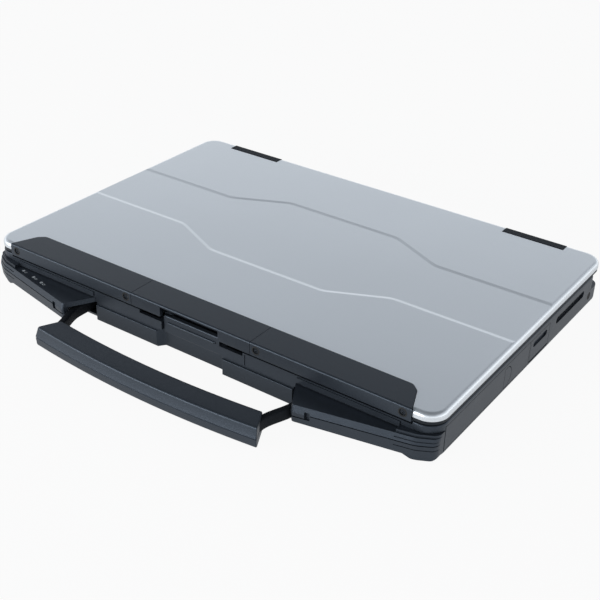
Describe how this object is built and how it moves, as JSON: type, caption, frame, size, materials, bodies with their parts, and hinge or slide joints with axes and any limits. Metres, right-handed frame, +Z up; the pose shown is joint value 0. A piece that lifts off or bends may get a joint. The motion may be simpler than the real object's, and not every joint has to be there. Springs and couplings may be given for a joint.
{
  "type": "laptop computer",
  "caption": "Rugged clamshell laptop with a silver lid, black front guards and a pull-out carrying handle, drawn closed with the handle out.",
  "frame": {"origin": "on the table under the middle of the footprint with the handle pulled out", "axes": "+X to the user's right, +Y towards the hinges, +Z up"},
  "size_m": [0.345, 0.2854, 0.0336],
  "materials": {
    "silver_paint": "satin silver paint on cast metal",
    "charcoal_plastic": "fine matte grain",
    "black_plastic": "matte black",
    "key_plastic": "smooth matte black",
    "rubber": "matte rubber",
    "steel": "dark plated steel",
    "black_steel": "black coated steel",
    "screen": "dark glossy screen",
    "circuit_board": "solder mask",
    "copper": "bare copper",
    "lamp": "clear light window"
  },
  "bodies": {
    "base": {"upper_case": "charcoal_plastic", "lower_case": "charcoal_plastic", "front_guard_left": "charcoal_plastic", "front_guard_right": "charcoal_plastic", "rear_blank_cover": "charcoal_plastic", "keyboard_tray": "black_plastic", "touchpad": "black_plastic", "vent_grille": "black_plastic", "right_port_block": "black_plastic", "fan_housing": "black_plastic", "speakers": "black_plastic", "dock_connector": "black_plastic", "power_inlet": "black_plastic", "feet": "rubber", "corner_plug": "rubber", "case_screws": "steel", "hinge_base_leaf_left": "steel", "hinge_base_leaf_right": "steel", "hinge_pins": "steel", "latch_pin": "steel", "mainboard": "circuit_board", "memory_module": "circuit_board", "storage_drive": "circuit_board", "heat_sink": "copper", "indicator_lenses": "lamp"},
    "lid": {"lid_back_cover": "silver_paint", "lid_bezel": "black_plastic", "display_panel": "screen", "screen_glass": "screen", "bezel_pads": "rubber", "antenna_cover_left": "charcoal_plastic", "antenna_cover_centre": "charcoal_plastic", "antenna_cover_right": "charcoal_plastic", "antenna_cover_screws": "black_steel", "antenna_boards": "circuit_board", "camera_module": "black_plastic", "hinge_cap_left": "charcoal_plastic", "hinge_cap_right": "charcoal_plastic", "hinge_lid_leaf_left": "steel", "hinge_lid_leaf_right": "steel", "latch_hooks": "steel"},
    "camera_cover": {"camera_shutter": "black_plastic"},
    "handle": {"handle_grip_upper": "charcoal_plastic", "handle_grip_lower": "charcoal_plastic", "handle_arm_left": "black_steel", "handle_arm_right": "black_steel", "handle_screws": "black_steel"},
    "latch": {"latch_lever": "charcoal_plastic"},
    "keys": {"keycaps": "key_plastic"},
    "space_key": {"space_bar": "key_plastic"},
    "pad_button_left": {"touchpad_button_left": "black_plastic"},
    "pad_button_right": {"touchpad_button_right": "black_plastic"},
    "power_key": {"power_button": "key_plastic"},
    "battery": {"battery_pack": "charcoal_plastic"},
    "battery_release": {"battery_lock": "charcoal_plastic"},
    "drive": {"drive_module": "charcoal_plastic"},
    "port_door": {"right_port_door": "charcoal_plastic"},
    "fan": {"fan_rotor": "black_plastic"}
  },
  "joints": [
    {"name": "lid_hinge", "type": "hinge", "parent": "base", "child": "lid", "pos_m": [0, 0.13825, 0.0256], "axis": [-1, 0, 0], "range_deg": [0, 135]},
    {"name": "camera_cover_slide", "type": "slide", "parent": "lid", "child": "camera_cover", "axis": [-1, 0, 0], "range_m": [0, 0.008]},
    {"name": "handle_slide", "type": "slide", "parent": "base", "child": "handle", "axis": [0, 1, 0], "range_m": [0, 0.027]},
    {"name": "latch_pull", "type": "hinge", "parent": "base", "child": "latch", "pos_m": [0, -0.08615, 0.0166], "axis": [1, 0, 0], "range_deg": [0, 14], "stiffness_Nm_per_rad": 0.2, "springref_deg": -114.59},
    {"name": "key_press", "type": "slide", "parent": "base", "child": "keys", "axis": [0, 0, -1], "range_m": [0, 0.002], "stiffness_N_per_m": 2500, "springref_m": -0.002},
    {"name": "space_press", "type": "slide", "parent": "base", "child": "space_key", "axis": [0, 0, -1], "range_m": [0, 0.002], "stiffness_N_per_m": 500, "springref_m": -0.002},
    {"name": "pad_left_press", "type": "slide", "parent": "base", "child": "pad_button_left", "axis": [0, 0, -1], "range_m": [0, 0.0006], "stiffness_N_per_m": 900, "springref_m": -0.001},
    {"name": "pad_right_press", "type": "slide", "parent": "base", "child": "pad_button_right", "axis": [0, 0, -1], "range_m": [0, 0.0006], "stiffness_N_per_m": 900, "springref_m": -0.001},
    {"name": "power_press", "type": "slide", "parent": "base", "child": "power_key", "axis": [0, 0, -1], "range_m": [0, 0.0008], "stiffness_N_per_m": 600, "springref_m": -0.001},
    {"name": "battery_slide", "type": "slide", "parent": "base", "child": "battery", "axis": [1, 0, 0], "range_m": [0, 0.08]},
    {"name": "battery_release_press", "type": "slide", "parent": "battery", "child": "battery_release", "axis": [-1, 0, 0], "range_m": [0, 0.0015]},
    {"name": "drive_slide", "type": "slide", "parent": "base", "child": "drive", "axis": [-1, 0, 0], "range_m": [0, 0.08]},
    {"name": "port_door_hinge", "type": "hinge", "parent": "base", "child": "port_door", "pos_m": [0.1713, 0.04245, 0.0076], "axis": [0, 1, 0], "range_deg": [0, 92]},
    {"name": "fan_spin", "type": "hinge", "parent": "base", "child": "fan", "pos_m": [0.13, 0.08725, 0.0105], "axis": [0, 0, 1], "continuous": true}
  ]
}
